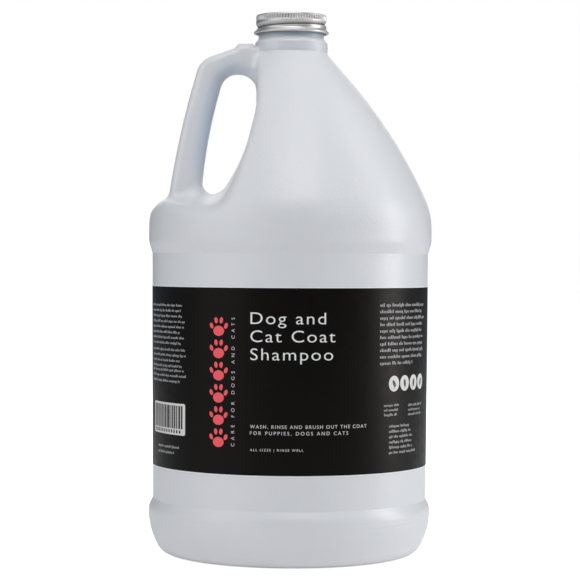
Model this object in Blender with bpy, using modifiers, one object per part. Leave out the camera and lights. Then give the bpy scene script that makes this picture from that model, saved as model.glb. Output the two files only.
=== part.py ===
"""A one-gallon round jug of pet shampoo: hollow handled bottle, screw cap, cap liner and wrap label.

The bottle stands on z = 0 with its axis on Z, its handle towards -X and its label's front towards -Y.
Outlines are written in millimetres and turned into metres as each mesh is made.
"""
import math

import bmesh
import bpy
from mathutils import Vector

MM = 0.001
GAP = 0.3                      # clearance between two pieces that touch

# Bottle
WALL = 1.0                     # blow-moulded wall
RIDGE_RADIUS = 78.25           # widest point, the rub ridges above and below the label
PANEL_BOTTOM = (75.6, 30.6)    # label panel, which widens slightly towards its top
PANEL_TOP = (76.3, 165.6)
FOOT_RING = (50.0, 65.0)       # flat ring that the bottle stands on
PUSH_UP = 5.0                  # depth of the recess under the base
COLLAR_RADIUS = 20.2
COLLAR_TOP = 282.0
LAND = 295.5                   # top face of the neck

# Neck finish 38-400: outer thread diameter 37.3 mm, root 35.0 mm, six threads to the inch
BORE_RADIUS = 15.0
NECK_RADIUS = 18.1             # plain neck under the thread
NECK_BAND = (284.5, 287.2)     # heights of the plain neck's two ends
ROOT_RADIUS = 17.5
THREAD_RADIUS = 18.65
PITCH = 25.4 / 6
BEAD_SPAN = (-120.0, 300.0)    # angles of the bead's two ends, in degrees from +X
BEAD_HEIGHT_AT_ZERO = LAND - 5.2

# Handle and the hand well behind it
HANDLE_HALF_WIDTH = 12.5
HANDLE_SIDES = 16
WALL_DRAFT = 0.012             # draft of the well's wall, per millimetre away from the parting line
FLOOR_SLOPE = 0.13             # fall of the well's floor, likewise
WELL_REACH = 90.0

# Cap, measured from the land of the neck
CAP_TOP = 2.0
SHELL = 0.4
CAP_RADIUS = 19.35
RIM_RADIUS = 20.85
RIM_BOTTOM = -8.5
KNURLS = 75
KNURL_RADIUS = 19.7
KNURL_VALLEY = 19.45
KNURL_BAND = (-1.3, 1.4)
CAP_STEPS = 40
GROOVE_SPAN = (140.0, 400.0)   # the rolled thread, half a pitch from the neck's bead
LINER_RADIUS = 18.5
LINER_THICKNESS = 1.0

# Label
LABEL_BAND = (49.0, 147.9)
LABEL_THICKNESS = 0.3
LABEL_OPENING = 9.0            # degrees left open at the back, where its two ends face each other

# Rounding
ARC_STEP = math.radians(18)
CHORD = 30.0                   # longest straight stretch of an arc
TURN_STEPS = 48
HELIX_STEP = 12                # degrees between two sections of a thread
RUN_OUT = 3                    # sections over which a thread fades at each end
RUN_OUT_START = 0.15           # share of its depth at the very end

OVERRUN = 5.0                  # how far a cutter reaches past what it cuts


def rounded(corners, arc_step=ARC_STEP):
    """Points of an open outline of corners (x, z, fillet radius), each fillet drawn as an arc."""
    points = [Vector(corners[0][:2])]
    for before, corner, after in zip(corners, corners[1:], corners[2:]):
        point = Vector(corner[:2])
        if corner[2] == 0:
            points.append(point)
            continue
        back = (Vector(before[:2]) - point).normalized()
        ahead = (Vector(after[:2]) - point).normalized()
        half_angle = back.angle(ahead) / 2
        centre = point + (back + ahead).normalized() * corner[2] / math.sin(half_angle)
        start = point + back * corner[2] / math.tan(half_angle) - centre
        turn = start.angle_signed(point + ahead * corner[2] / math.tan(half_angle) - centre)
        steps = max(2, math.ceil(abs(turn) / arc_step), math.ceil(abs(turn) * corner[2] / CHORD))
        for step in range(steps + 1):
            angle = -turn * step / steps
            across = Vector((-start.y, start.x))
            points.append(centre + start * math.cos(angle) + across * math.sin(angle))
    points.append(Vector(corners[-1][:2]))
    return points


def inset(points, distance):
    """The same open outline moved to its left by a distance."""
    moved = []
    for index, point in enumerate(points):
        before = points[max(index - 1, 0)]
        after = points[min(index + 1, len(points) - 1)]
        along = (after - before).normalized()
        moved.append(point + Vector((-along.y, along.x)) * distance)
    return moved


def new_object(name, mesh, collection):
    """An object for a mesh, in the named collection."""
    thing = bpy.data.objects.new(name, mesh)
    bpy.data.collections[collection].objects.link(thing)
    if collection == "cutters":
        thing.hide_render = True
        thing.display_type = "WIRE"
    return thing


def turned(name, outline, collection="cutters", steps=TURN_STEPS):
    """A solid of revolution about Z. The outline runs down its outer side, in millimetres."""
    mesh = bpy.data.meshes.new(name)
    points = [(x * MM, 0, z * MM) for x, z in outline]
    mesh.from_pydata(points, [(i, i + 1) for i in range(len(points) - 1)], [])
    thing = new_object(name, mesh, collection)
    screw = thing.modifiers.new("turn", "SCREW")
    screw.axis = "Z"
    screw.steps = steps
    screw.render_steps = steps
    screw.use_merge_vertices = True
    screw.merge_threshold = 0.00001
    screw.use_smooth_shade = True
    return thing


def loft(name, rings, collection="cutters"):
    """A closed skin over rings of points in millimetres, each with the same number of points."""
    shape = bmesh.new()
    rows = [[shape.verts.new(Vector(point) * MM) for point in ring] for ring in rings]
    count = len(rows[0])
    for row, following in zip(rows, rows[1:]):
        for i in range(count):
            j = (i + 1) % count
            shape.faces.new((row[i], row[j], following[j], following[i]))
    shape.faces.new(rows[0])
    shape.faces.new(rows[-1])
    bmesh.ops.recalc_face_normals(shape, faces=shape.faces)
    bmesh.ops.triangulate(shape, faces=shape.faces)
    mesh = bpy.data.meshes.new(name)
    shape.to_mesh(mesh)
    shape.free()
    return new_object(name, mesh, collection)


def combine(target, operation, tool):
    """Cuts a tool from a target (DIFFERENCE) or joins it on (UNION)."""
    boolean = target.modifiers.new(operation.lower() + " " + tool.name, "BOOLEAN")
    boolean.operation = operation
    boolean.object = tool
    boolean.solver = "EXACT"


def material(thing, colour, roughness, metallic=0.0):
    """Gives an object its own Principled material."""
    finish = bpy.data.materials.new(thing.name)
    finish.use_nodes = True
    shader = finish.node_tree.nodes["Principled BSDF"]
    shader.inputs["Base Color"].default_value = (*colour, 1)
    shader.inputs["Roughness"].default_value = roughness
    shader.inputs["Metallic"].default_value = metallic
    thing.data.materials.append(finish)


def helix(name, span, height_at_zero, section):
    """A bar wound about Z on the thread's pitch, its section (radius, height) shrinking at both ends."""
    first, last = span
    steps = math.ceil((last - first) / HELIX_STEP)
    root = section[0][0]
    rings = []
    for step in range(steps + 1):
        degrees = first + (last - first) * step / steps
        angle = math.radians(degrees)
        middle = height_at_zero + PITCH * degrees / 360
        fade = min(1.0, RUN_OUT_START + min(step, steps - step) / RUN_OUT)
        ring = []
        for radius, height in section:
            reach = root + (radius - root) * fade
            ring.append((reach * math.cos(angle), reach * math.sin(angle), middle + height))
        rings.append(ring)
    return loft(name, rings)


# Bottle

def body_outline():
    """The body's half outline from the base's centre to the collar, upwards."""
    foot_inner, foot_outer = FOOT_RING
    return rounded([
        (0, PUSH_UP, 0),
        (foot_inner - 8, PUSH_UP, 0),
        (foot_inner, 0, 0),
        (foot_outer, 0, 0),
        (71, 0, 9),
        (RIDGE_RADIUS - 0.3, 15.5, 38),
        (RIDGE_RADIUS - 0.3, 26, 9),
        (*PANEL_BOTTOM, 0),
        (*PANEL_TOP, 0),
        (RIDGE_RADIUS, 172, 12),
        (RIDGE_RADIUS, 188.2, 37.8),
        (57.9, 232.6, 276),
        (COLLAR_RADIUS + 0.1, 275.6, 7.5),
        (COLLAR_RADIUS, COLLAR_TOP, 0),
    ])


def neck_outline():
    """The neck's outline from the collar to the land, upwards."""
    bottom, top = NECK_BAND
    return [
        Vector((NECK_RADIUS, bottom)),
        Vector((NECK_RADIUS, top)),
        Vector((ROOT_RADIUS, top + 0.6)),
        Vector((ROOT_RADIUS, LAND - 0.3)),
        Vector((ROOT_RADIUS - 0.3, LAND)),
        Vector((0, LAND)),
    ]


def well_outline(margin):
    """The hand well's outline in X and Z, seen from the front, moved outwards by a margin."""
    wall_and_floor = rounded([
        (-18.7, 279, 0),
        (-18.7, 246.9, 52),
        (-26.1, 219.5, 98),
        (-38.6, 198, 5),
        (-WELL_REACH - 20, 198, 0),
    ])
    points = inset(wall_and_floor, margin)
    return points + [Vector((points[-1].x, points[0].y))]


def hand_well(name, margin):
    """The cutter of the hand well, which opens out to both sides of the parting line."""
    outline = well_outline(margin)
    top = outline[0].y
    height = top - min(point.y for point in outline)
    rings = []
    for side in (-1, 0, 1):
        away = abs(side) * WELL_REACH
        ring = []
        for x, z in outline:
            fall = away * FLOOR_SLOPE * (top - z) / height
            ring.append((x + away * WALL_DRAFT, side * WELL_REACH, z - fall))
        rings.append(ring)
    return loft(name, rings)


def handle(name, margin):
    """The handle, swept from inside the neck to inside the shoulder, and made smaller by a margin."""
    stations = [                # outer edge x, z and finger side x, z
        (-10, 280.2, -10, 262),
        (-27, 280.2, -24, 264.7),
        (-36.5, 276.6, -30.5, 264.8),
        (-46.0, 272.9, -35.7, 262.8),
        (-51.2, 267.0, -38.6, 258.6),
        (-55.1, 256.0, -40.6, 252.0),
        (-59.5, 239.7, -44.6, 235.8),
        (-63.3, 223.1, -47.4, 219.9),
        (-65.7, 209.5, -48.9, 207.0),
        (-67.2, 200.0, -47.4, 198.5),
        (-70.0, 190.0, -43.0, 190.0),
    ]
    rings = []
    for outer_x, outer_z, inner_x, inner_z in stations:
        outer = Vector((outer_x, 0, outer_z))
        inner = Vector((inner_x, 0, inner_z))
        middle = (outer + inner) / 2
        across = outer - middle
        depth = across.length - margin
        across.normalize()
        ring = []
        for side in range(HANDLE_SIDES):
            angle = 2 * math.pi * (side + 0.5) / HANDLE_SIDES
            flat = abs(math.cos(angle)) ** 0.8 * math.copysign(1, math.cos(angle))
            wide = abs(math.sin(angle)) ** 0.8 * math.copysign(1, math.sin(angle))
            sideways = Vector((0, wide * (HANDLE_HALF_WIDTH - margin), 0))
            ring.append(middle + across * flat * depth + sideways)
        rings.append(ring)
    return loft(name, rings)


def neck_thread():
    """The helical bead on the neck."""
    section = [
        (ROOT_RADIUS - 0.4, -1.25),
        (THREAD_RADIUS, -0.45),
        (THREAD_RADIUS, 0.45),
        (ROOT_RADIUS - 0.4, 1.25),
    ]
    return helix("neck_thread", BEAD_SPAN, BEAD_HEIGHT_AT_ZERO, section)


def cavity():
    """The space inside the bottle, with the hollow of its handle and the bore of its neck."""
    outline = [point for point in inset(body_outline(), WALL) if point.y < COLLAR_TOP - 3]
    outline[0].x = 0
    for radius, height in ((BORE_RADIUS, COLLAR_TOP + 1), (BORE_RADIUS, LAND + OVERRUN), (0, LAND + OVERRUN)):
        outline.append(Vector((radius, height)))
    space = turned("bottle_cavity", reversed(outline))
    combine(space, "DIFFERENCE", hand_well("well_core", WALL))
    combine(space, "UNION", handle("handle_core", WALL))
    return space


def bottle_body():
    """The blow-moulded bottle in one piece: body, hollow handle and threaded neck."""
    outline = body_outline() + neck_outline()
    bottle = turned("bottle_body", reversed(outline), "shampoo_bottle")
    combine(bottle, "DIFFERENCE", hand_well("hand_well", 0))
    combine(bottle, "UNION", handle("handle_solid", 0))
    combine(bottle, "UNION", neck_thread())
    combine(bottle, "DIFFERENCE", cavity())
    material(bottle, (0.80, 0.82, 0.85), 0.35)


# Cap

def knurl_band():
    """The knurled band around the top of the cap, an extruded star."""
    curve = bpy.data.curves.new("knurl_outline", "CURVE")
    curve.dimensions = "2D"
    curve.fill_mode = "BOTH"
    bottom, top = KNURL_BAND
    curve.extrude = (top - bottom) / 2 * MM
    spline = curve.splines.new("POLY")
    spline.points.add(2 * KNURLS - 1)
    spline.use_cyclic_u = True
    for index, point in enumerate(spline.points):
        radius = KNURL_RADIUS if index % 2 else KNURL_VALLEY
        angle = math.pi * index / KNURLS
        point.co = (radius * MM * math.cos(angle), radius * MM * math.sin(angle), 0, 1)
    outline = new_object("knurl_outline", curve, "cutters")
    outline.location.z = (top + bottom) / 2 * MM
    bpy.context.view_layer.update()
    evaluated = outline.evaluated_get(bpy.context.evaluated_depsgraph_get())
    mesh = bpy.data.meshes.new_from_object(evaluated)
    shape = bmesh.new()
    shape.from_mesh(mesh)
    bmesh.ops.remove_doubles(shape, verts=shape.verts, dist=0.000001)
    bmesh.ops.recalc_face_normals(shape, faces=shape.faces)
    shape.to_mesh(mesh)
    shape.free()
    band = new_object("knurl_band", mesh, "cutters")
    band.matrix_world = outline.matrix_world
    bpy.data.objects.remove(outline)
    return band


def cap_outline():
    """The cap's outer half outline, from the top's centre down to the rim's centre."""
    return rounded([
        (0, CAP_TOP, 0),
        (CAP_RADIUS, CAP_TOP, 0.5),
        (CAP_RADIUS, RIM_BOTTOM + 2.5, 0.6),
        (RIM_RADIUS, RIM_BOTTOM + 1.3, 0.4),
        (RIM_RADIUS - 0.2, RIM_BOTTOM, 0.5),
        (0, RIM_BOTTOM, 0),
    ], math.radians(45))


def cap_shell(seat):
    """The aluminium cap: a thin cup with a knurled band, a rolled thread and a thick rim."""
    cap = turned("cap_shell", cap_outline(), "shampoo_bottle", CAP_STEPS)
    inner = CAP_RADIUS - SHELL
    ceiling = CAP_TOP - SHELL
    below = RIM_BOTTOM - OVERRUN
    hollow = [(0, ceiling), (inner, ceiling), (inner, below), (0, below)]
    bore = turned("cap_bore", hollow, steps=CAP_STEPS)
    height_at_zero = BEAD_HEIGHT_AT_ZERO - LAND - PITCH / 2
    crest = THREAD_RADIUS - 0.65
    ridge = helix("rolled_ridge", GROOVE_SPAN, height_at_zero, [
        (inner + 0.22, -1.35),
        (crest, -0.5),
        (crest, 0.5),
        (inner + 0.22, 1.35),
    ])
    groove = helix("rolled_groove", GROOVE_SPAN, height_at_zero, [
        (CAP_RADIUS + 0.9, -1.75),
        (crest + SHELL, -0.3),
        (crest + SHELL, 0.3),
        (CAP_RADIUS + 0.9, 1.75),
    ])
    band = knurl_band()
    bore.rotation_euler.z = math.pi / CAP_STEPS
    band.rotation_euler.z = math.pi / KNURLS / 2
    combine(cap, "UNION", band)
    combine(cap, "DIFFERENCE", groove)
    combine(bore, "DIFFERENCE", ridge)
    combine(cap, "DIFFERENCE", bore)
    for thing in (cap, bore, ridge, groove, band):
        thing.parent = seat
    material(cap, (0.78, 0.78, 0.77), 0.28, 1.0)


def cap_liner(seat):
    """The foam disc inside the cap that seals on the neck's land."""
    bottom = GAP
    top = GAP + LINER_THICKNESS
    outline = [(0, top), (LINER_RADIUS, top), (LINER_RADIUS, bottom), (0, bottom)]
    liner = turned("cap_liner", outline, "shampoo_bottle", CAP_STEPS)
    liner.parent = seat
    material(liner, (0.92, 0.91, 0.88), 0.8)


# Label

def panel_radius(height):
    """The radius of the body's label panel at a height."""
    low, high = PANEL_BOTTOM, PANEL_TOP
    return low[0] + (high[0] - low[0]) * (height - low[1]) / (high[1] - low[1])


def wrap_label():
    """The film label, a strip around the panel whose two ends nearly meet at the back."""
    mesh = bpy.data.meshes.new("wrap_label")
    edge = [((panel_radius(height) + GAP) * MM, 0, height * MM) for height in reversed(LABEL_BAND)]
    mesh.from_pydata(edge, [(0, 1)], [])
    label = new_object("wrap_label", mesh, "shampoo_bottle")
    label.rotation_euler.z = math.radians(90 + LABEL_OPENING / 2)
    screw = label.modifiers.new("wrap", "SCREW")
    screw.axis = "Z"
    screw.angle = math.radians(360 - LABEL_OPENING)
    screw.steps = TURN_STEPS
    screw.render_steps = TURN_STEPS
    screw.merge_threshold = 0.00001
    screw.use_smooth_shade = True
    film = label.modifiers.new("film", "SOLIDIFY")
    film.thickness = LABEL_THICKNESS * MM
    film.offset = 1
    material(label, (0.012, 0.011, 0.012), 0.45)


def clear_scene():
    """Removes what the scene holds and makes the two collections."""
    for thing in list(bpy.data.objects):
        bpy.data.objects.remove(thing)
    for name in ("shampoo_bottle", "cutters"):
        collection = bpy.data.collections.new(name)
        bpy.context.scene.collection.children.link(collection)


def main():
    """Builds the four pieces."""
    clear_scene()
    bottle_body()
    wrap_label()
    seat = new_object("cap_seat", None, "shampoo_bottle")
    seat.location.z = LAND * MM
    cap_liner(seat)
    cap_shell(seat)


main()
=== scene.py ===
"""Looks of the one-gallon jug of pet shampoo: bottle, screw cap, cap liner and printed wrap label.

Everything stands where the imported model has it: z = 0 under the base, the axis on Z, the handle towards -X
and the label's front towards -Y. Outlines are in millimetres and become metres as each mesh is made.
"""
import math
import random

import bmesh
import bpy
import numpy as np
from mathutils import Matrix, Vector


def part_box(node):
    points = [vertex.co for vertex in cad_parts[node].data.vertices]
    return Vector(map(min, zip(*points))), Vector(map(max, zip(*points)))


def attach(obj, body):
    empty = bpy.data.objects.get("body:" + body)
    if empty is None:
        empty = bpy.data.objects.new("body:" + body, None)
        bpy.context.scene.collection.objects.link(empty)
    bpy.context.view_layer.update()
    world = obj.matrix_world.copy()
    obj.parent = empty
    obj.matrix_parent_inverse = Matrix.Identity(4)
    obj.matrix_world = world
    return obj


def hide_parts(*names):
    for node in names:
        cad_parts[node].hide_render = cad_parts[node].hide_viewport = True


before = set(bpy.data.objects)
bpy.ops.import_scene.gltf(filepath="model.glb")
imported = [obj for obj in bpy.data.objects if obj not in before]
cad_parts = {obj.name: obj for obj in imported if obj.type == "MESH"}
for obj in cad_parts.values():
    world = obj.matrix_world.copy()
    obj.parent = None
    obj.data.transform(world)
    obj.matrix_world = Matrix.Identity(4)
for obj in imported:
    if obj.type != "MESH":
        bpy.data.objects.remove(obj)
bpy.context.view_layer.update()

MM = 0.001
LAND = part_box("bottle_body")[1].z / MM      # top face of the neck
CAP_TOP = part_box("cap_shell")[1].z / MM
CAP_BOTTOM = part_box("cap_shell")[0].z / MM
RIM_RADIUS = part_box("cap_shell")[1].x / MM
LINER_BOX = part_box("cap_liner")
LABEL_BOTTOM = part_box("wrap_label")[0].z / MM
LABEL_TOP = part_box("wrap_label")[1].z / MM

WALL = 1.0                     # thickness of the moulding
RIDGE = 78.25                  # radius of the rub ridges above and below the label
PANEL_BOTTOM = (75.6, 30.6)    # radius and height of the label panel's lower end
PANEL_TOP = (76.3, 165.6)
COLLAR = 20.0                  # radius under the neck
NECK = 18.1                    # radius of the plain neck under the thread
ROOT = 17.5                    # radius between the turns of the neck's thread
BORE = 15.0
PITCH = 25.4 / 6               # of the cap's thread
BEAD_AT_ZERO = LAND - 5.2      # height of the neck's bead at the angle 0
BEAD_SPAN = (-120.0, 300.0)    # angles of its two ends, in degrees from +X
GROOVE_SPAN = (140.0, 400.0)   # likewise for the cap's rolled groove

SIDES = 240                    # points around the bottle
NET_BOTTOM = 176.0             # the shoulder above this height is a net, the body below it is turned
NET_TOP = 285.6


# Outlines

def rounded(corners, arc_step=math.radians(5), chord=2.0):
    """Points of an open outline of corners (x, z, fillet radius), each fillet drawn as an arc."""
    points = [Vector(corners[0][:2])]
    for before, corner, after in zip(corners, corners[1:], corners[2:]):
        point = Vector(corner[:2])
        if corner[2] == 0:
            points.append(point)
            continue
        back = (Vector(before[:2]) - point).normalized()
        ahead = (Vector(after[:2]) - point).normalized()
        half_angle = back.angle(ahead) / 2
        centre = point + (back + ahead).normalized() * corner[2] / math.sin(half_angle)
        start = point + back * corner[2] / math.tan(half_angle) - centre
        turn = start.angle_signed(point + ahead * corner[2] / math.tan(half_angle) - centre)
        steps = max(2, math.ceil(abs(turn) / arc_step), math.ceil(abs(turn) * corner[2] / chord))
        for step in range(steps + 1):
            angle = -turn * step / steps
            across = Vector((-start.y, start.x))
            points.append(centre + start * math.cos(angle) + across * math.sin(angle))
    points.append(Vector(corners[-1][:2]))
    return points


def closed_round(corners):
    """A closed outline with every corner rounded by its own radius."""
    ring = [corners[-1]] + corners + [corners[0]]
    points = []
    for before, corner, after in zip(ring, ring[1:], ring[2:]):
        points += rounded([before, corner, after])[1:-1]
    return points


def resampled(points, longest):
    """The same outline with its straight stretches split up."""
    dense = [points[0]]
    for a, b in zip(points, points[1:]):
        count = max(1, math.ceil((b - a).length / longest))
        dense += [a.lerp(b, (i + 1) / count) for i in range(count)]
    return dense


BODY = rounded([
    (0, 5, 0),
    (42, 5, 3),
    (50, 0, 3),
    (65, 0, 0),
    (71, 0, 9),
    (RIDGE - 0.3, 15.5, 38),
    (RIDGE - 0.3, 26.0, 9),
    (*PANEL_BOTTOM, 0.4),
    (*PANEL_TOP, 0.4),
    (RIDGE, 172, 12),
    (RIDGE, 188.2, 37.8),
    (57.9, 232.6, 276),
    (COLLAR + 0.3, 275.6, 7.5),
    (COLLAR + 0.05, 276.5, 0),
    (COLLAR + 0.35, 276.8, 0.15),
    (COLLAR + 0.2, 281.9, 0.5),
    (NECK, 284.5, 0.3),
    (NECK, 286.5, 0),
])

WELL = rounded([
    (-18.7, 279, 0),
    (-18.7, 246.9, 52),
    (-26.1, 219.5, 98),
    (-38.6, 198, 12),
    (-110, 198, 0),
])
WELL_TOP = 279.0
WALL_DRAFT = 0.012             # of the well's wall, for each millimetre away from the parting line
FLOOR_FALL = 0.13              # likewise of its floor, at the lowest
WELL_EDGE = 3.0                # rounding where the well meets the body
FLOOR_EDGE = (2.0, 7.0)        # what is added to it along the floor, and in the middle of the floor
HALF_WIDTH = (10.3, 2.2)       # of the handle: next to the neck, and what is added further out
OUTSIDE_ROUND = 4.6            # rounding of the handle's outer corners
FINGER_ROUND = 7.5             # rounding of its corners towards the fingers

HANDLE = rounded([
    (-12, 280.2, 0),
    (-20.6, 280.2, 0.3),
    (-21.2, 281.3, 0.4),
    (-28.9, 281.2, 0.8),
    (-31.0, 278.8, 1.6),
    (-50.2, 271.7, 12),
    (-62.5, 228.9, 500),
    (-70.1, 176, 0),
    (-12, 176, 0),
])
FINGER_GAP = closed_round([
    (-18.5, 264.95, 11),
    (-18.5, 250, 0),
    (-6, 250, 0),
    (-6, 186, 0),
    (-50.8, 186, 0),
    (-47.0, 228.9, 280),
    (-37.1, 264.95, 9.2),
])


def panel_radius(height):
    """The radius of the body's label panel at a height."""
    low_radius, low = PANEL_BOTTOM
    high_radius, high = PANEL_TOP
    return low_radius + (high_radius - low_radius) * (height - low) / (high - low)


# Distance fields, in millimetres and negative inside

class Flat:
    """Signed distance to a closed flat outline, tabulated on a grid."""

    def __init__(self, outline, low, high, step=0.4):
        self.low = low
        self.step = step
        across = np.arange(low[0], high[0] + step, step)
        up = np.arange(low[1], high[1] + step, step)
        x, z = np.meshgrid(across, up, indexing="ij")
        nearest = np.full(x.shape, 1e9)
        inside = np.zeros(x.shape, bool)
        for (ax, az), (bx, bz) in zip(outline, outline[1:] + outline[:1]):
            dx, dz = bx - ax, bz - az
            length = dx * dx + dz * dz
            if length < 1e-12:
                continue
            along = np.clip(((x - ax) * dx + (z - az) * dz) / length, 0, 1)
            nearest = np.minimum(nearest, (x - ax - along * dx) ** 2 + (z - az - along * dz) ** 2)
            if az != bz:
                inside ^= ((az > z) != (bz > z)) & (x < dx * (z - az) / dz + ax)
        self.table = np.where(inside, -np.sqrt(nearest), np.sqrt(nearest))

    def __call__(self, x, z):
        i = np.clip((x - self.low[0]) / self.step, 0, self.table.shape[0] - 1.001)
        k = np.clip((z - self.low[1]) / self.step, 0, self.table.shape[1] - 1.001)
        i0 = i.astype(int)
        k0 = k.astype(int)
        i = i - i0
        k = k - k0
        lower = self.table[i0, k0] * (1 - i) + self.table[i0 + 1, k0] * i
        upper = self.table[i0, k0 + 1] * (1 - i) + self.table[i0 + 1, k0 + 1] * i
        return lower * (1 - k) + upper * k


def round_cut(a, b, radius):
    """The space in both a and b, its edge rounded."""
    return np.minimum(-radius, np.maximum(a, b)) + np.hypot(
        np.maximum(radius + a, 0), np.maximum(radius + b, 0))


def round_join(a, b, radius):
    """The space in a or b, the corner between them filled."""
    return np.maximum(radius, np.minimum(a, b)) - np.hypot(
        np.maximum(radius - a, 0), np.maximum(radius - b, 0))


def smooth_step(low, high, value):
    part = np.clip((value - low) / (high - low), 0, 1)
    return part * part * (3 - 2 * part)


def bottle_field():
    """The distance to the bottle's outer surface, as a function of arrays x, y, z.

    The trunk is the turned body less the hand well. The handle is a flat outline of some width less the
    finger gap. The corner where they join is filled, and the filling changes along the join: wide at the
    handle's foot, thin beside the gap, wider again at its top end, and next to nothing on its top face.
    """
    around = [Vector((NECK, 330)), Vector((-60, 330)), Vector((-60, 5))]
    body = Flat(BODY + around, (-2, 165), (96, 300))
    well = Flat(WELL + [Vector((-110, WELL_TOP))], (-100, 165), (0, 300))
    outer = Flat(HANDLE, (-100, 165), (0, 300))
    gap = Flat(FINGER_GAP, (-100, 165), (0, 300))
    well_floor = min(point.y for point in WELL)

    def distance(x, y, z):
        away = np.abs(y)
        pull = away * FLOOR_FALL / (WELL_TOP - well_floor)
        carved = well(x - away * WALL_DRAFT, (z + pull * WELL_TOP) / (1 + pull))
        along_floor, middle = FLOOR_EDGE
        low_edge = (along_floor + middle * np.exp(-(away / 22) ** 2)) * (1 - smooth_step(196, 214, z))
        trunk = round_cut(body(np.hypot(x, y), z), -carved, WELL_EDGE + low_edge)
        narrow, added = HALF_WIDTH
        wide = away - (narrow + added * smooth_step(18, 46, -x))
        bar = round_cut(outer(x, z), wide, OUTSIDE_ROUND)
        grip = round_cut(bar, round_cut(-gap(x, z), wide, FINGER_ROUND), 0.6)
        foot = 3.0 + 5.0 * smooth_step(-62, -52, x)
        corner = foot + (2.0 - foot) * smooth_step(212, 240, z) - 1.5 * smooth_step(276, 279, z)
        corner += 3.0 * smooth_step(264, 268, z) * (1 - smooth_step(273, 278, z))
        return round_join(trunk, grip, corner)

    return distance


# Mesh building

class Skin:
    """Points and faces of one mesh, in millimetres."""

    def __init__(self):
        self.points = []
        self.faces = []

    def add(self, points):
        first = len(self.points)
        self.points += [tuple(point) for point in points]
        return list(range(first, len(self.points)))

    def ring(self, radius, height, angles):
        """A row of points; radius and height are numbers or arrays."""
        x = radius * np.cos(angles)
        y = radius * np.sin(angles)
        z = height + 0 * angles
        return self.add(zip(x.tolist(), y.tolist(), z.tolist()))

    def band(self, lower, upper):
        """Quads between two rows that run anticlockwise, facing away from the axis where lower is below."""
        count = len(lower)
        for i in range(count):
            j = (i + 1) % count
            self.faces.append((lower[i], lower[j], upper[j], upper[i]))

    def fan(self, row, height, up):
        """Closes a row with triangles to a point on the axis."""
        centre = self.add([(0, 0, height)])[0]
        for i, point in enumerate(row):
            following = row[(i + 1) % len(row)]
            self.faces.append((point, following, centre) if up else (following, point, centre))

    def made(self, name, smooth=60):
        mesh = bpy.data.meshes.new(name)
        mesh.from_pydata((np.array(self.points) * MM).tolist(), [], self.faces)
        mesh.validate()
        mesh.shade_smooth()
        if smooth < 180:
            mesh.set_sharp_from_angle(angle=math.radians(smooth))
        thing = bpy.data.objects.new(name, mesh)
        bpy.context.scene.collection.objects.link(thing)
        return thing


def pulled_in(distance, points, rounds=4):
    """Moves points onto the surface where the distance is zero."""
    gap = 0.1
    for _ in range(rounds):
        value = distance(*points.T)
        slope = np.stack([
            (distance(*(points + shift).T) - distance(*(points - shift).T)) / (2 * gap)
            for shift in np.eye(3) * gap], axis=1)
        size = np.maximum((slope ** 2).sum(axis=1), 0.05)
        move = np.clip(value / size, -1.5, 1.5)
        points = points - move[:, None] * slope
    return points


def add_net(skin, distance, radii, heights, flip=False):
    """A surface net of the zero surface on a grid about Z. Returns its lowest and highest rows.

    Each cell that the surface crosses gets one point, and each grid edge that it crosses gets one face.
    """
    angles = np.arange(SIDES) * 2 * math.pi / SIDES
    r, a, z = np.meshgrid(radii, angles, heights, indexing="ij")
    values = distance(r * np.cos(a), r * np.sin(a), z)
    inside = values < 0
    cells = (len(radii) - 1, SIDES, len(heights) - 1)
    sums = np.zeros(cells + (3,))
    count = np.zeros(cells)
    crossings = []
    for axis in range(3):
        other = np.roll(values, -1, axis=axis)
        differs = inside != np.roll(inside, -1, axis=axis)
        if axis == 0:
            differs[-1] = False
        if axis == 2:
            differs[:, :, -1] = False
        at = np.argwhere(differs)
        ends = values[differs]
        part = ends / (ends - other[differs])
        sign = inside[differs]
        p, q = [k for k in range(3) if k != axis]
        around = []
        for back_p, back_q in ((1, 1), (0, 1), (0, 0), (1, 0)):
            cell = at.copy()
            cell[:, p] -= back_p
            cell[:, q] -= back_q
            cell[:, 1] %= SIDES
            valid = np.ones(len(cell), bool)
            for k in (0, 2):
                valid &= (cell[:, k] >= 0) & (cell[:, k] < cells[k])
            local = np.zeros((len(cell), 3))
            local[:, axis] = part
            local[:, p] = back_p
            local[:, q] = back_q
            kept = cell[valid]
            np.add.at(sums, tuple(kept.T), local[valid])
            np.add.at(count, tuple(kept.T), 1)
            around.append((cell, valid))
        crossings.append((axis, around, sign))
    used = count > 0
    cell_of = np.argwhere(used)
    spot = cell_of + sums[used] / count[used][:, None]
    radius = np.interp(spot[:, 0], np.arange(len(radii)), radii)
    height = np.interp(spot[:, 2], np.arange(len(heights)), heights)
    angle = spot[:, 1] * 2 * math.pi / SIDES
    points = np.stack([radius * np.cos(angle), radius * np.sin(angle), height], axis=1)
    points = pulled_in(distance, points)
    first = len(skin.points)
    skin.add(points.tolist())
    index = np.full(cells, -1)
    index[used] = np.arange(len(points)) + first
    for axis, around, sign in crossings:
        whole = np.logical_and.reduce([valid for _, valid in around])
        corners = np.stack([index[tuple(cell[whole].T)] for cell, _ in around], axis=1)
        turned = sign[whole] ^ (axis == 1) ^ flip
        corners[~turned] = corners[~turned][:, ::-1]
        skin.faces += [tuple(face) for face in corners.tolist()]

    def row(level):
        return [int(index[np.flatnonzero(used[:, i, level])[0], i, level]) for i in range(SIDES)]

    return row(0), row(cells[2] - 1)


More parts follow.
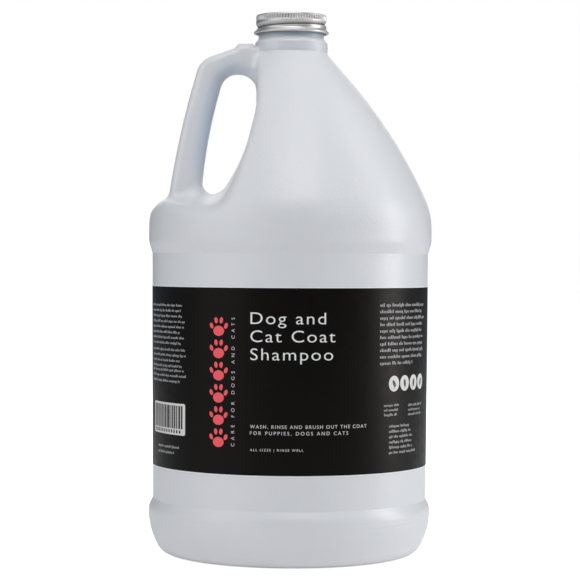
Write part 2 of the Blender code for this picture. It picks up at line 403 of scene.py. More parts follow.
BEAD_HEIGHT = 1.15             # how far the bead stands out of the neck
BEAD_HALF = (0.35, 1.15)       # half the width of its crest and of its foot
BEAD_FADE = 22                 # degrees over which it fades at each end
MOULD_LINES = (20.3, 23.2)     # heights of two fine lines around the heel
MOULD_LINE_DEPTH = 0.05
MOULD_LINE_WIDTH = 0.45
HEEL = (17, 26)                # heights between which the rows are close enough to show the lines
NET_STEP = 1.45
INSIDE_STEP = 2.9


def bead_radius(angles, height):
    """The radius of the threaded neck at a height, with its helical bead."""
    degrees = np.degrees(angles) % 360
    radius = np.full(len(angles), ROOT)
    for turn in (-360, 0, 360):
        at = degrees + turn
        fade = smooth_step(BEAD_SPAN[0], BEAD_SPAN[0] + BEAD_FADE, at) * (
            1 - smooth_step(BEAD_SPAN[1] - BEAD_FADE, BEAD_SPAN[1], at))
        off = np.abs(height - BEAD_AT_ZERO - PITCH * at / 360)
        rise = BEAD_HEIGHT * (1 - smooth_step(*BEAD_HALF, off))
        radius = np.maximum(radius, ROOT + rise * fade)
    return radius


def mould_line_depth(height):
    """How far the fine mould lines are pressed into the turned body at a height."""
    shares = [math.exp(-((height - line) / MOULD_LINE_WIDTH) ** 2) for line in MOULD_LINES]
    return MOULD_LINE_DEPTH * sum(shares)


def bottle_shell():
    """The bottle in one skin: turned base and body, netted shoulder and handle, neck, bore and inside."""
    skin = Skin()
    distance = bottle_field()
    angles = (np.arange(SIDES) + 0.5) * 2 * math.pi / SIDES

    outline = resampled([p for p in BODY if p.y < NET_BOTTOM], 3.0)
    outline = [p for p in outline if p.x > 1] + [Vector((RIDGE, NET_BOTTOM - 0.8))]
    rows = []
    for before, point in zip(outline, outline[1:]):
        steps = 10 if HEEL[0] < point.y < HEEL[1] else 1
        for i in range(steps):
            spot = before.lerp(point, (i + 1) / steps)
            rows.append(skin.ring(spot.x - mould_line_depth(spot.y), spot.y, angles))
    skin.fan(rows[0], outline[0].y, False)
    for lower, upper in zip(rows, rows[1:]):
        skin.band(lower, upper)
    heights = np.concatenate([
        np.arange(NET_BOTTOM, 275.0, NET_STEP), np.arange(275.2, 278.0, 0.55), np.arange(278.5, 280.6, 1.0),
        np.arange(281.1, NET_TOP + 0.01, 0.5)])
    low, high = add_net(skin, distance, np.arange(13.0, 84.0, NET_STEP), heights)
    skin.band(rows[-1], low)

    neck = [(NECK, 286.0), (NECK, 287.0), (ROOT, 287.8)]
    neck += [(bead_radius(angles, height), height) for height in np.arange(288.05, LAND - 0.3, 0.25)]
    lip = [(ROOT - 0.1, LAND - 0.25), (ROOT - 0.4, LAND), (BORE + 0.5, LAND), (BORE, LAND - 0.5)]
    lip += [(BORE, height) for height in (290, 284, 278)]
    lip += [(BORE + 0.4, 275.5), (BORE + 1.2, 273.0)]
    previous = high
    for radius, height in neck + lip:
        following = skin.ring(radius, height, angles)
        skin.band(previous, following)
        previous = following

    def inner_distance(x, y, z):
        return distance(x, y, z) + WALL

    heights = np.arange(NET_BOTTOM, 272.5, INSIDE_STEP)
    low, high = add_net(skin, inner_distance, np.arange(8.0, 84.0, 2.3), heights, flip=True)
    skin.band(previous, high)
    inside = [Vector((max(p.x - WALL, 0), p.y + (WALL if p.x < 66 else 0))) for p in BODY if p.y < 170]
    inside = [p for p in resampled(inside, 9.0) if p.x > 1]
    previous = low
    for point in reversed(inside):
        following = skin.ring(point.x, point.y, angles)
        skin.band(previous, following)
        previous = following
    skin.fan(previous, inside[0].y, True)
    return skin.made("bottle_shell", 50)


# Cap and liner

CAP_SIDES = 600
RIBS = 75
RIB_DEPTH = 0.42
CAP_WALL = 19.45               # outer radius between the ribs and the rim
RIB_ENDS = (293.7, 294.5, 296.4, 297.0)    # heights between which the ribs fade in, and out again
GROOVE_ABOVE = 2.3             # the groove's reach above its deepest line, and below it
GROOVE_BELOW = 0.75
GROOVE_DEPTH = 0.95
GROOVE_DROP = 0.15             # of its deepest line, below the middle between the neck's beads
GROOVE_FADE = 24               # degrees over which it fades at each end
CREASE_DEPTH = 0.4             # a sharper crease along the deepest line
CREASE_WIDTH = 0.2
BULGE = (293.1, 0.15, 0.7)     # height, depth and reach of the slight bulge between ribs and groove
DIMPLE = 0.22                  # how far the middle of the cap's top is pressed in
SHOULDER = 0.8                 # radius of the cap's top corner
SKIRT_BOTTOM = 290.0
ROW_STEP = 0.14
SHEET = 0.4                    # thickness of the aluminium
CURL = (RIM_RADIUS - 0.72, CAP_BOTTOM + 0.72, 0.72)    # centre and radius of the curled rim


def groove_depth(angles, height):
    """How far the rolled thread is pressed in at a height."""
    degrees = np.degrees(angles)
    depth = np.zeros(len(angles))
    for turn in (0, 360):
        at = degrees + turn
        fade = smooth_step(GROOVE_SPAN[0], GROOVE_SPAN[0] + GROOVE_FADE, at) * (
            1 - smooth_step(GROOVE_SPAN[1] - GROOVE_FADE, GROOVE_SPAN[1], at))
        off = height - BEAD_AT_ZERO + PITCH / 2 - PITCH * at / 360 + GROOVE_DROP
        part = np.where(off > 0, off / GROOVE_ABOVE, -off / GROOVE_BELOW)
        slope = GROOVE_DEPTH * (1 - smooth_step(0, 1, part))
        crease = CREASE_DEPTH * np.exp(-(off / CREASE_WIDTH) ** 2)
        depth = np.maximum(depth, (slope + crease) * fade)
    return depth


def rib_depth(angles, height):
    """How far the knurl's valleys are pressed in at a height."""
    ends = smooth_step(*RIB_ENDS[:2], height) * (1 - smooth_step(*RIB_ENDS[2:], height))
    return RIB_DEPTH * (0.5 - 0.5 * np.cos(RIBS * angles)) ** 1.4 * ends


def cap_metal():
    """The aluminium cap: spun top, knurled band, rolled thread and curled rim, with its inner skin."""
    skin = Skin()
    angles = np.arange(CAP_SIDES) * 2 * math.pi / CAP_SIDES
    rows = []
    top = [(2, DIMPLE), (8, DIMPLE), (15.2, DIMPLE), (15.6, 0.18), (16.0, 0.05), (16.4, 0.0), (18.2, 0.0)]
    for radius, drop in top:
        rows.append(skin.ring(radius, CAP_TOP - drop, angles))
    for step in range(7):
        turn = math.pi / 2 * step / 6
        radius = CAP_WALL - SHOULDER + SHOULDER * math.sin(turn)
        rows.append(skin.ring(radius, CAP_TOP - SHOULDER + SHOULDER * math.cos(turn), angles))
    bulge_height, bulge, reach = BULGE
    for height in np.arange(CAP_TOP - SHOULDER - 0.1, SKIRT_BOTTOM, -ROW_STEP):
        swell = bulge * math.exp(-((height - bulge_height) / reach) ** 2)
        radius = CAP_WALL + swell - rib_depth(angles, height) - groove_depth(angles, height)
        rows.append(skin.ring(radius, height, angles))
    for radius, height in ((19.47, 289.75), (19.56, 289.4), (19.74, 289.05), (20.0, 288.75), (20.28, 288.52)):
        rows.append(skin.ring(radius - groove_depth(angles, height), height, angles))
    middle, level, bend = CURL
    for degrees in range(62, -225, -17):
        turn = math.radians(degrees)
        rows.append(skin.ring(middle + bend * math.cos(turn), level + bend * math.sin(turn), angles))
    inner = CAP_WALL - SHEET
    rows.append(skin.ring(inner + 0.1, level + 0.9, angles))
    for height in np.arange(289.4, 296.6, 0.3):
        rows.append(skin.ring(inner - groove_depth(angles, height), height, angles))
    ceiling = CAP_TOP - SHEET - DIMPLE
    rows.append(skin.ring(inner - 0.1, ceiling - 0.2, angles))
    rows.append(skin.ring(inner - 0.4, ceiling, angles))
    skin.fan(rows[0], CAP_TOP - DIMPLE, True)
    for upper, lower in zip(rows, rows[1:]):
        skin.band(lower, upper)
    skin.fan(rows[-1], ceiling, False)
    return skin.made("cap_metal", 40)


def liner_disc():
    """The foam disc under the cap's top, with softly rounded edges and a ring pressed by the neck."""
    skin = Skin()
    angles = np.arange(120) * 2 * math.pi / 120
    bottom, top = LINER_BOX[0].z / MM, LINER_BOX[1].z / MM
    reach = LINER_BOX[1].x / MM
    profile = [(4, top), (reach - 0.3, top), (reach - 0.08, top - 0.08), (reach, top - 0.3)]
    profile += [(reach, bottom + 0.35), (reach - 0.1, bottom + 0.1), (reach - 0.35, bottom)]
    profile += [(17.7, bottom), (17.5, bottom + 0.12), (15.0, bottom + 0.12), (14.8, bottom), (4, bottom)]
    rows = [skin.ring(radius, height, angles) for radius, height in profile]
    skin.fan(rows[0], top, True)
    for upper, lower in zip(rows, rows[1:]):
        skin.band(lower, upper)
    skin.fan(rows[-1], bottom, False)
    return skin.made("liner_disc", 40)


# Label

FILM = 0.03                    # gap under the film
FILM_THICKNESS = 0.12
FILM_HALF_TURN = math.radians(175.5)
EDGE_BAND = 0.5                # pale cut edge along the top and bottom of the film
INK = 0.02                     # how far print stands off the film
STRIP = 1.5                    # width of the flat strips that print is bent in
CAPITAL_SHARE = 0.729          # height of the built-in font's capitals, as a share of its size


def on_label(across, height, proud):
    """A point on the label: millimetres around from its front centre, height, and how far it stands proud."""
    base = panel_radius(height)
    angle = across / (base + FILM + FILM_THICKNESS)
    radius = base + FILM + FILM_THICKNESS + proud
    return radius * math.sin(angle), -radius * math.cos(angle), height


def label_film():
    """The wrapped film, with its two ends facing each other at the back."""
    skin = Skin()
    columns = 280
    heights = [LABEL_BOTTOM, LABEL_BOTTOM + EDGE_BAND]
    heights += list(np.linspace(LABEL_BOTTOM, LABEL_TOP, 14)[1:-1])
    heights += [LABEL_TOP - EDGE_BAND, LABEL_TOP]
    sheets = []
    for side in (0, 1):
        grid = []
        for height in heights:
            radius = panel_radius(height) + FILM + (FILM_THICKNESS if side else 0)
            row = []
            for column in range(columns + 1):
                angle = FILM_HALF_TURN * (2 * column / columns - 1)
                row.append((radius * math.sin(angle), -radius * math.cos(angle), height))
            grid.append(skin.add(row))
        sheets.append(grid)
    inner, outer = sheets
    edge_faces = []
    for k in range(len(heights) - 1):
        for i in range(columns):
            if k in (0, len(heights) - 2):
                edge_faces.append(len(skin.faces))
            skin.faces.append((outer[k][i], outer[k][i + 1], outer[k + 1][i + 1], outer[k + 1][i]))
            skin.faces.append((inner[k + 1][i], inner[k + 1][i + 1], inner[k][i + 1], inner[k][i]))
    for i in range(columns):
        edge_faces += [len(skin.faces), len(skin.faces) + 1]
        skin.faces.append((inner[0][i], inner[0][i + 1], outer[0][i + 1], outer[0][i]))
        skin.faces.append((outer[-1][i], outer[-1][i + 1], inner[-1][i + 1], inner[-1][i]))
    for k in range(len(heights) - 1):
        skin.faces.append((inner[k][0], outer[k][0], outer[k + 1][0], inner[k + 1][0]))
        skin.faces.append((outer[k][-1], inner[k][-1], inner[k + 1][-1], outer[k + 1][-1]))
    film = skin.made("label_film", 40)
    return film, edge_faces


class Print:
    """Flat shapes in millimetres on the label, made thin solids and wrapped around it."""

    def __init__(self, thickness=0.04):
        self.shape = bmesh.new()
        self.thickness = thickness

    def outline(self, points, layer=0):
        """A filled outline that runs anticlockwise."""
        low = layer * self.thickness
        bottom = [self.shape.verts.new((x, y, low)) for x, y in points]
        top = [self.shape.verts.new((x, y, low + self.thickness)) for x, y in points]
        self.shape.faces.new(top)
        self.shape.faces.new(bottom[::-1])
        for i in range(len(points)):
            j = (i + 1) % len(points)
            self.shape.faces.new((bottom[i], bottom[j], top[j], top[i]))

    def bar(self, x, y, width, height, layer=0):
        self.outline([(x, y), (x + width, y), (x + width, y + height), (x, y + height)], layer)

    def disc(self, x, y, width, height=None, tilt=0.0, layer=0, sides=28):
        """An ellipse of two half widths, turned by an angle in degrees."""
        height = width if height is None else height
        lean = math.radians(tilt)
        points = []
        for i in range(sides):
            turn = 2 * math.pi * i / sides
            u, v = width * math.cos(turn), height * math.sin(turn)
            points.append((
                x + u * math.cos(lean) - v * math.sin(lean),
                y + u * math.sin(lean) + v * math.cos(lean)))
        self.outline(points, layer)

    def mesh(self, mesh, x, y, scale_x, scale_y):
        """A flat closed mesh, such as generic lettering, put at a place."""
        mesh.transform(Matrix.Diagonal((scale_x, scale_y, self.thickness, 1)))
        mesh.transform(Matrix.Translation((x, y, 0)))
        self.shape.from_mesh(mesh)

    def wrapped(self, name, ink):
        """Cuts the shapes into upright strips, bends them around the label and makes the object."""
        reach = [vert.co.x for vert in self.shape.verts]
        for index in range(math.ceil(min(reach) / STRIP), math.floor(max(reach) / STRIP) + 1):
            everything = self.shape.verts[:] + self.shape.edges[:] + self.shape.faces[:]
            bmesh.ops.bisect_plane(self.shape, geom=everything, dist=0.00001,
                                   plane_co=(index * STRIP, 0, 0), plane_no=(1, 0, 0))
        for vert in self.shape.verts:
            vert.co = Vector(on_label(vert.co.x, vert.co.y, INK + vert.co.z)) * MM
        bmesh.ops.triangulate(self.shape, faces=[f for f in self.shape.faces if len(f.verts) > 4])
        mesh = bpy.data.meshes.new(name)
        self.shape.to_mesh(mesh)
        self.shape.free()
        mesh.materials.append(ink)
        thing = bpy.data.objects.new(name, mesh)
        bpy.context.scene.collection.objects.link(thing)
        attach(thing, "bottle")
        return thing


def lettering(text, spacing=1.16, upward=False, thinner=0.0):
    """A closed flat mesh of a few plain words, one unit thick, with its capitals one unit tall."""
    curve = bpy.data.curves.new("words", "FONT")
    curve.body = text
    curve.extrude = 0.5
    curve.resolution_u = 5
    curve.offset = -thinner
    curve.space_character = spacing
    thing = bpy.data.objects.new("words", curve)
    bpy.context.scene.collection.objects.link(thing)
    bpy.context.view_layer.update()
    mesh = bpy.data.meshes.new_from_object(thing.evaluated_get(bpy.context.evaluated_depsgraph_get()))
    bpy.data.objects.remove(thing)
    bpy.data.curves.remove(curve)
    shape = bmesh.new()
    shape.from_mesh(mesh)
    bmesh.ops.remove_doubles(shape, verts=shape.verts, dist=0.00001)
    bmesh.ops.recalc_face_normals(shape, faces=shape.faces)
    left = min(vert.co.x for vert in shape.verts)
    for vert in shape.verts:
        across, up = (vert.co.x - left) / CAPITAL_SHARE, vert.co.y / CAPITAL_SHARE
        vert.co = Vector((-up, across, vert.co.z + 0.5) if upward else (across, up, vert.co.z + 0.5))
    shape.to_mesh(mesh)
    shape.free()
    return mesh


def greeked(sheet, draw, x, y, width, size, ragged=0.0):
    """A line of small print as a row of plain blocks, one for each letter."""
    end = x + width - draw.random() * ragged
    pitch = size * 0.66
    while x < end - 1.5 * pitch:
        letters = min(draw.randint(3, 9), int((end - x) / pitch))
        for _ in range(letters):
            kind = draw.random()
            tall = size if kind < 0.28 else size * 0.66
            low = -0.25 * size if kind > 0.9 else 0
            sheet.bar(x, y + low, pitch * 0.56, tall - low)
            x += pitch
        x += pitch * 0.9


def paw(sheet, x, y, size):
    """A plain paw print: one pad and four toes."""
    sheet.disc(x, y - 0.16 * size, 0.27 * size, 0.22 * size)
    for across, up, tilt in ((-0.36, 0.06, 24), (-0.13, 0.29, 8), (0.13, 0.29, -8), (0.36, 0.06, -24)):
        sheet.disc(x + across * size, y + up * size, 0.085 * size, 0.135 * size, tilt, sides=20)


COLUMN = (-39.0, 62.5, 132.5)  # the coral column: middle, bottom and top
PAWS = 6
PAW = 12.2                     # size of one paw print
TAGLINE = (-29.5, 64.4)        # foot and start of the line that runs upwards
HEADLINE = (-20.8, (128.6, 119.2, 109.8))      # left end and the height of each line
CAPITAL = 6.5                  # height of the headline's capitals
BADGES = (62.2, 9.4, 96.6)     # middle of the first badge, distance between them, and their height
BADGE = 4.2
CODE = (-99.3, 68.2, 37.2, 16.9)               # the barcode's plate: left, bottom, width and height
CODE_CORNER = 1.2


def label_prints():
    """Everything printed on the label: generic words, greeked small print and plain symbols."""
    draw = random.Random(4)
    left, baselines = HEADLINE
    headline = Print()
    for text, baseline in zip(("Dog and", "Cat Coat", "Shampoo"), baselines):
        headline.mesh(lettering(text, thinner=0.004), left, baseline, 1.18 * CAPITAL, CAPITAL)
    headline.wrapped("print_headline", INK_WHITE)

    plain = Print()
    plain.mesh(lettering("WASH, RINSE AND BRUSH OUT THE COAT", 1.3), left, 74.2, 1.9, 1.9)
    plain.mesh(lettering("FOR PUPPIES, DOGS AND CATS", 1.45), left, 70.8, 1.95, 1.95)
    plain.mesh(lettering("ALL SIZES | RINSE WELL", 1.4), left, 62.3, 1.4, 1.4)
    plain.mesh(lettering("CARE FOR DOGS AND CATS", 2.12, True, 0.006), *TAGLINE, 2.0, 2.0)
    plain.wrapped("print_plain", INK_SILVER)

    small = Print()
    for line in range(10):
        greeked(small, draw, 51.5, 137.6 - 3.42 * line, 46.5 if line < 9 else 34, 1.75, 5)
    for line in range(3):
        greeked(small, draw, 54.6, 84.6 - 2.5 * line, 13, 1.3, 4)
        greeked(small, draw, 75.3, 84.0 - 2.5 * line, 19, 1.3, 5)
    for line in range(6):
        greeked(small, draw, 58.5, 73.4 - 2.8 * line, 31.5, 1.45, 12)
    for top_line, lines in ((136.9, 8), (113.0, 4), (102.0, 3)):
        for line in range(lines):
            width = 44 - draw.random() * 6
            greeked(small, draw, -104.5, top_line - 2.9 * line, width, 1.35)
    for line in range(2):
        greeked(small, draw, -92.0, 60.9 - 3.1 * line, 26 - 5 * line, 1.35)
    for line in range(12):
        greeked(small, draw, 130.0, 132.0 - 3.4 * line, 62, 1.6, 16)
    for line in range(9):
        greeked(small, draw, -196.0, 132.0 - 3.4 * line, 62, 1.6, 16)
    small.wrapped("print_small", INK_GREY)

    column = Print()
    middle, bottom, top = COLUMN
    for index in range(PAWS):
        paw(column, middle, bottom + (top - bottom) * (index + 0.5) / PAWS, PAW)
    column.wrapped("print_column", INK_CORAL)

    plates = Print()
    marks = Print()
    first, pitch, y = BADGES
    for index in range(4):
        x = first + pitch * index
        plates.disc(x, y, BADGE, sides=40)
        marks.disc(x, y, 1.0, 2.1, 30 - 20 * index, layer=2, sides=20)
        marks.bar(x - 0.15, y - 2.8, 0.3, 2.0, layer=2)
    marks.wrapped("print_badges", INK_GREEN)

    left, bottom, width, height = CODE
    outline = []
    for x, y, start in ((1, 0, -90), (1, 1, 0), (0, 1, 90), (0, 0, 180)):
        for step in range(5):
            turn = math.radians(start + 22.5 * step)
            outline.append((
                left + (width - CODE_CORNER if x else CODE_CORNER) + CODE_CORNER * math.cos(turn),
                bottom + (height - CODE_CORNER if y else CODE_CORNER) + CODE_CORNER * math.sin(turn)))
    plates.outline(outline)
    plates.wrapped("print_plates", INK_PLATE)
    bars = Print()
    x = left + 2.2
    while x < left + width - 2.9:
        thick = draw.choice((0.4, 0.4, 0.8, 1.2))
        bars.bar(x, bottom + 3.4, thick, height - 4.6, layer=2)
        x += thick + draw.choice((0.4, 0.8, 0.8))
    for step in range(12):
        bars.bar(left + 3.4 + 2.6 * step, bottom + 1.0, 1.2, 1.7, layer=2)
    bars.wrapped("print_bars", INK_BLACK)


# Finishes

def finish(name, **values):
    """A Principled material; the keywords name its sockets."""
    made = bpy.data.materials.new(name)
    made.use_nodes = True
    shader = made.node_tree.nodes["Principled BSDF"]
    for socket, value in values.items():
        value = (*value, 1) if socket == "Base_Color" else value
        shader.inputs[socket.replace("_", " ")].default_value = value
    return made


def node(made, kind, *inputs, **settings):
    """Adds a node. Inputs are values or the sockets that feed it, in the node's order; None skips one."""
    tree = made.node_tree
    added = tree.nodes.new(kind)
    for name, value in settings.items():
        setattr(added, name, value)
    for socket, value in zip([s for s in added.inputs if s.enabled], inputs):
        if isinstance(value, bpy.types.NodeSocket):
            tree.links.new(value, socket)
        elif value is not None:
            socket.default_value = value
    return [s for s in added.outputs if s.enabled][0]


def place(made):
    """The object's own coordinates, in metres."""
    return made.node_tree.nodes.new("ShaderNodeTexCoord").outputs["Object"]


def grain(made, scale, detail=2.0, spot=None):
    """Noise of so many lumps in a metre."""
    return node(made, "ShaderNodeTexNoise", spot or place(made), scale, detail)


def ranged(made, value, low, high, new_low, new_high, smooth=False):
    """A value between low and high, carried over to a new range and held at its ends."""
    return node(made, "ShaderNodeMapRange", value, low, high, new_low, new_high,
                interpolation_type="SMOOTHSTEP" if smooth else "LINEAR")


def feed(made, socket, value):
    made.node_tree.links.new(value, made.node_tree.nodes["Principled BSDF"].inputs[socket])


def relief(made, height, depth):
    """Bump of a height between 0 and 1, depth being in metres."""
    added = made.node_tree.nodes.new("ShaderNodeBump")
    added.inputs["Strength"].default_value = 1.0
    added.inputs["Distance"].default_value = depth
    made.node_tree.links.new(height, added.inputs["Height"])
    feed(made, "Normal", added.outputs["Normal"])


def total(made, a, b):
    return node(made, "ShaderNodeMath", a, b, operation="ADD")


def times(made, a, b):
    return node(made, "ShaderNodeMath", a, b, operation="MULTIPLY")


def coloured(made, fraction, dark, light):
    """Makes the base colour a blend of two, by a fraction. The first may be a socket. Returns the blend."""
    mix = made.node_tree.nodes.new("ShaderNodeMix")
    mix.data_type = "RGBA"
    made.node_tree.links.new(fraction, mix.inputs[0])
    if isinstance(dark, bpy.types.NodeSocket):
        made.node_tree.links.new(dark, mix.inputs[6])
    else:
        mix.inputs[6].default_value = (*dark, 1)
    mix.inputs[7].default_value = (*light, 1)
    feed(made, "Base Color", mix.outputs[2])
    return mix.outputs[2]


def between(made, value, rise, fall):
    """1 between two soft edges, each from one place in millimetres to another, and 0 outside them."""
    rising = ranged(made, value, rise[0] * MM, rise[1] * MM, 0.0, 1.0, smooth=True)
    falling = ranged(made, value, fall[0] * MM, fall[1] * MM, 1.0, 0.0, smooth=True)
    return times(made, rising, falling)


# Where the plastic holds painted shade, by soft edges in millimetres: where each fades in, and where it fades
# out
NECK_PAINTED_SHADE = ((283.6, 286.2), (287.2, 289.0))           # heights of the plain neck
COLLAR_PAINTED_SHADE = ((276.4, 276.9), (281.4, 282.2))         # heights of the collar
COLLAR_SHADE_LEFT = (-21.2, -19.8)                           # x where the collar's painted shade fades into the handle
GRIP_SHADE_LEAN = 0.179                                      # x that the handle moves in for each unit of height
GRIP_PAINTED_SHADE = ((-97.0, -85.5), (-83.5, -81.0))           # x of its finger side, carried down to z = 0
GRIP_SHADE_HEIGHTS = ((205, 219), (250, 272))
BAR_PAINTED_SHADE = ((-44, -34), (-27, -20))                    # x of the underside of the handle's top
BAR_SHADE_HEIGHTS = ((258, 263), (265, 274))


def moulded_plastic():
    """White polyethylene: a pebbled moulded skin, faint cloudiness and the line where the mould parts.

    It is painted darker and bluer where the real bottle's shape holds shade: painted shade on the plain neck
    under the cap, a little on the collar, and on the handle's side towards the fingers.
    """
    made = finish("moulded_plastic", Roughness=0.32, IOR=1.5, Specular_IOR_Level=0.5)
    cloud = grain(made, 22, 3)
    across, sideways, height = node(made, "ShaderNodeSeparateXYZ", place(made)).node.outputs
    # Masks of painted shade: on the collar (0.22 as strong, fading out into the handle) and on the plain neck
    # under the cap
    collar = times(made, between(made, height, *COLLAR_PAINTED_SHADE), 0.22)
    right = ranged(made, across, COLLAR_SHADE_LEFT[0] * MM, COLLAR_SHADE_LEFT[1] * MM, 0.0, 1.0, smooth=True)
    neck = total(made, between(made, height, *NECK_PAINTED_SHADE), times(made, collar, right))
    white = coloured(made, cloud, (0.762, 0.771, 0.796), (0.786, 0.795, 0.818))
    # Painted shade, darker and bluer, mixed into the white by the neck and collar mask
    white = coloured(made, neck, white, (0.36, 0.42, 0.49))
    # Painted shade, bluer, on the handle's side towards the fingers and under its top bar
    slanted = total(made, across, times(made, height, -GRIP_SHADE_LEAN))
    grip = times(made, between(made, slanted, *GRIP_PAINTED_SHADE), between(made, height, *GRIP_SHADE_HEIGHTS))
    bar = times(made, between(made, across, *BAR_PAINTED_SHADE), between(made, height, *BAR_SHADE_HEIGHTS))
    grip = times(made, grip, 0.8)
    bar = times(made, bar, 0.55)
    finger_side_shade = node(made, "ShaderNodeMath", grip, bar, operation="MAXIMUM")
    # the bluer colour of that painted shade
    coloured(made, finger_side_shade, white, (0.65, 0.75, 0.89))
    feed(made, "Roughness", ranged(made, grain(made, 60, 3), 0.3, 0.7, 0.28, 0.36))
    coarser_above = ranged(made, height, 150 * MM, 200 * MM, 1.6, 3.2)
    pebble = times(made, grain(made, 1000, 2), coarser_above)
    ripple = times(made, grain(made, 140, 2), 1.1)
    line = node(made, "ShaderNodeMath", sideways, operation="ABSOLUTE")
    line = ranged(made, line, 0.0, 0.5 * MM, 1.6, 0.0, smooth=True)
    relief(made, total(made, total(made, pebble, ripple), line), 0.06 * MM)
    return made


def aluminium():
    """Bare aluminium, spun and rolled: soft gloss, fine turning marks, painted shade where it is pressed in.
    """
    made = finish("aluminium", Metallic=0.85, Roughness=0.42)
    spot = place(made)
    x, y, height = node(made, "ShaderNodeSeparateXYZ", spot).node.outputs
    marks = made.node_tree.nodes.new("ShaderNodeTexNoise")
    marks.noise_dimensions = "1D"
    marks.inputs["Scale"].default_value = 3000
    made.node_tree.links.new(height, marks.inputs["W"])
    blotch = grain(made, 130, 3, spot)
    bright = coloured(made, blotch, (0.64, 0.625, 0.615), (0.74, 0.725, 0.715))
    # Painted shade: the cap's side is darkened towards the shade colour the further in it lies, most in the
    # rolled groove and the knurl's valleys; the top is left out
    radius = node(made, "ShaderNodeMath", total(made, times(made, x, x), times(made, y, y)), operation="SQRT")
    pressed = ranged(made, radius, (CAP_WALL - 1.2) * MM, (CAP_WALL - 0.05) * MM, 1.0, 0.0, smooth=True)
    side = ranged(made, height, (CAP_TOP - 0.7) * MM, (CAP_TOP - 0.4) * MM, 1.0, 0.0, smooth=True)
    coloured(made, times(made, pressed, side), bright, (0.33, 0.32, 0.315))
    feed(made, "Roughness", ranged(made, total(made, marks.outputs[0], blotch), 0.7, 1.3, 0.38, 0.48))
    return made


def foam():
    """Off-white foam with fine cells."""
    made = finish("foam", Roughness=0.85)
    cells = node(made, "ShaderNodeTexVoronoi", place(made), 1400.0)
    coloured(made, cells, (0.86, 0.85, 0.81), (0.93, 0.92, 0.89))
    relief(made, cells, 0.0002)
    return made


def satin_film(name, dark, light, roughness=0.4):
    """Printed film with a faint orange peel and a weak, slightly warm gloss."""
    made = finish(name, Roughness=roughness, Specular_IOR_Level=0.16, Specular_Tint=(1.0, 0.91, 0.86, 1.0))
    coloured(made, grain(made, 90, 3), dark, light)
    feed(made, "Roughness", ranged(made, grain(made, 300, 3), 0.3, 0.7, roughness - 0.05, roughness + 0.05))
    relief(made, grain(made, 260, 2), 0.00002)
    return made


INK_WHITE = satin_film("ink_white", (0.80, 0.80, 0.80), (0.90, 0.90, 0.90))
INK_SILVER = satin_film("ink_silver", (0.66, 0.66, 0.66), (0.76, 0.76, 0.76))
INK_GREY = satin_film("ink_grey", (0.40, 0.40, 0.40), (0.50, 0.50, 0.50))
INK_CORAL = satin_film("ink_coral", (0.93, 0.11, 0.13), (0.98, 0.14, 0.16))
INK_GREEN = satin_film("ink_green", (0.05, 0.11, 0.06), (0.07, 0.14, 0.08))
INK_PLATE = satin_film("ink_plate", (0.74, 0.73, 0.71), (0.82, 0.81, 0.79))
INK_BLACK = satin_film("ink_black", (0.012, 0.011, 0.011), (0.016, 0.015, 0.015))


# Assembly

def put(piece, body, node_name, slot, *finishes):
    """Makes a piece stand for a node of the model, on its body and with its finish."""
    for made in finishes:
        piece.data.materials.append(made)
    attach(piece, body)
    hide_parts(node_name)


put(bottle_shell(), "bottle", "bottle_body", "bottle", moulded_plastic())
put(cap_metal(), "cap", "cap_shell", "cap", aluminium())
put(liner_disc(), "liner", "cap_liner", "liner", foam())
film, pale_faces = label_film()
put(film, "bottle", "wrap_label", "label",
    satin_film("label_black", (0.0007, 0.0006, 0.0005), (0.0011, 0.0010, 0.0009), 0.39),
    satin_film("label_edge", (0.90, 0.92, 0.95), (0.95, 0.96, 0.98)))
for index in pale_faces:
    film.data.polygons[index].material_index = 1
label_prints()


# Stage

def floor():
    """A wide pale floor. To the camera it glows enough to run into the background without a horizon."""
    mesh = bpy.data.meshes.new("floor")
    reach = 12.0
    least_glow = 0.14
    corners = [(-reach, -reach, 0), (reach, -reach, 0), (reach, reach, 0), (-reach, reach, 0)]
    mesh.from_pydata(corners, [], [(0, 1, 2, 3)])
    thing = bpy.data.objects.new("floor", mesh)
    thing.location.z = -0.0004
    made = finish("floor", Base_Color=(0.85, 0.85, 0.85), Roughness=0.8)
    made.node_tree.nodes["Principled BSDF"].inputs["Emission Color"].default_value = (1, 1, 1, 1)
    away = node(made, "ShaderNodeVectorMath", place(made), operation="LENGTH").node.outputs["Value"]
    glow = ranged(made, away, 0.12, 0.5, 0.80, 1.0, smooth=True)
    seen = made.node_tree.nodes.new("ShaderNodeLightPath").outputs["Is Camera Ray"]
    strength = node(made, "ShaderNodeMath", times(made, glow, seen), least_glow, operation="MAXIMUM")
    feed(made, "Emission Strength", strength)
    mesh.materials.append(made)
    bpy.context.scene.collection.objects.link(thing)


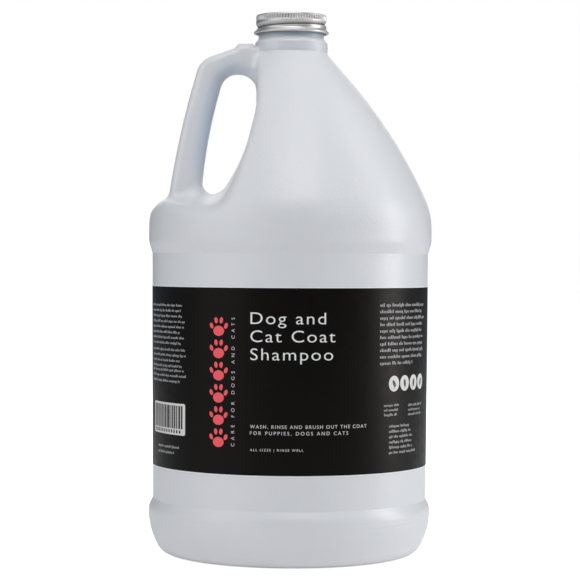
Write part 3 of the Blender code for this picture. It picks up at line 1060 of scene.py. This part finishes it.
def surroundings():
    """A white background to the camera, and dim grey surroundings to everything else."""
    world = bpy.data.worlds.new("studio")
    world.use_nodes = True
    tree = world.node_tree
    background = tree.nodes["Background"]
    path = tree.nodes.new("ShaderNodeLightPath")
    mix = tree.nodes.new("ShaderNodeMix")
    mix.data_type = "RGBA"
    mix.inputs[6].default_value = (0.02, 0.032, 0.048, 1)
    mix.inputs[7].default_value = (1, 1, 1, 1)
    tree.links.new(path.outputs["Is Camera Ray"], mix.inputs[0])
    tree.links.new(mix.outputs[2], background.inputs["Color"])
    bpy.context.scene.world = world


def soft_light(name, azimuth, elevation, away, width, height, watts):
    """An upright area light that faces the object. Azimuth 0 is the camera's side and 90 the right."""
    data = bpy.data.lights.new(name, "AREA")
    data.shape = "RECTANGLE"
    data.size = width
    data.size_y = height
    data.energy = watts
    thing = bpy.data.objects.new(name, data)
    turn, rise = math.radians(azimuth), math.radians(elevation)
    towards = Vector((math.sin(turn) * math.cos(rise), -math.cos(turn) * math.cos(rise), math.sin(rise)))
    thing.location = Vector((0, 0, 0.15)) + away * towards
    thing.rotation_mode = "QUATERNION"
    thing.rotation_quaternion = towards.to_track_quat("Z", "Y")
    bpy.context.scene.collection.objects.link(thing)


def camera():
    """A long lens a little over a metre in front of the label, just above the bottle's middle."""
    data = bpy.data.cameras.new("camera")
    data.sensor_width = 36
    data.lens = 129.1
    data.clip_start = 0.05
    data.clip_end = 50
    thing = bpy.data.objects.new("camera", data)
    thing.location = (-0.00013, -1.156, 0.1622)
    thing.rotation_euler = (math.radians(89.163), math.radians(-0.28), 0)
    bpy.context.scene.collection.objects.link(thing)
    bpy.context.scene.camera = thing


floor()
surroundings()
bpy.context.scene.view_settings.view_transform = "Standard"
soft_light("key_left", -56, 25, 1.4, 1.2, 1.4, 6.4)
soft_light("strip_right", 90, 5, 1.35, 0.48, 1.3, 10.8)
soft_light("top", 0, 85, 1.4, 1.2, 1.2, 5.3)
soft_light("top_front", 7, 54, 1.6, 0.9, 0.7, 7.9)
soft_light("top_right", 95, 46, 1.6, 0.6, 0.7, 2.7)
soft_light("back", 180, 25, 1.5, 1.0, 1.2, 4.0)
camera()
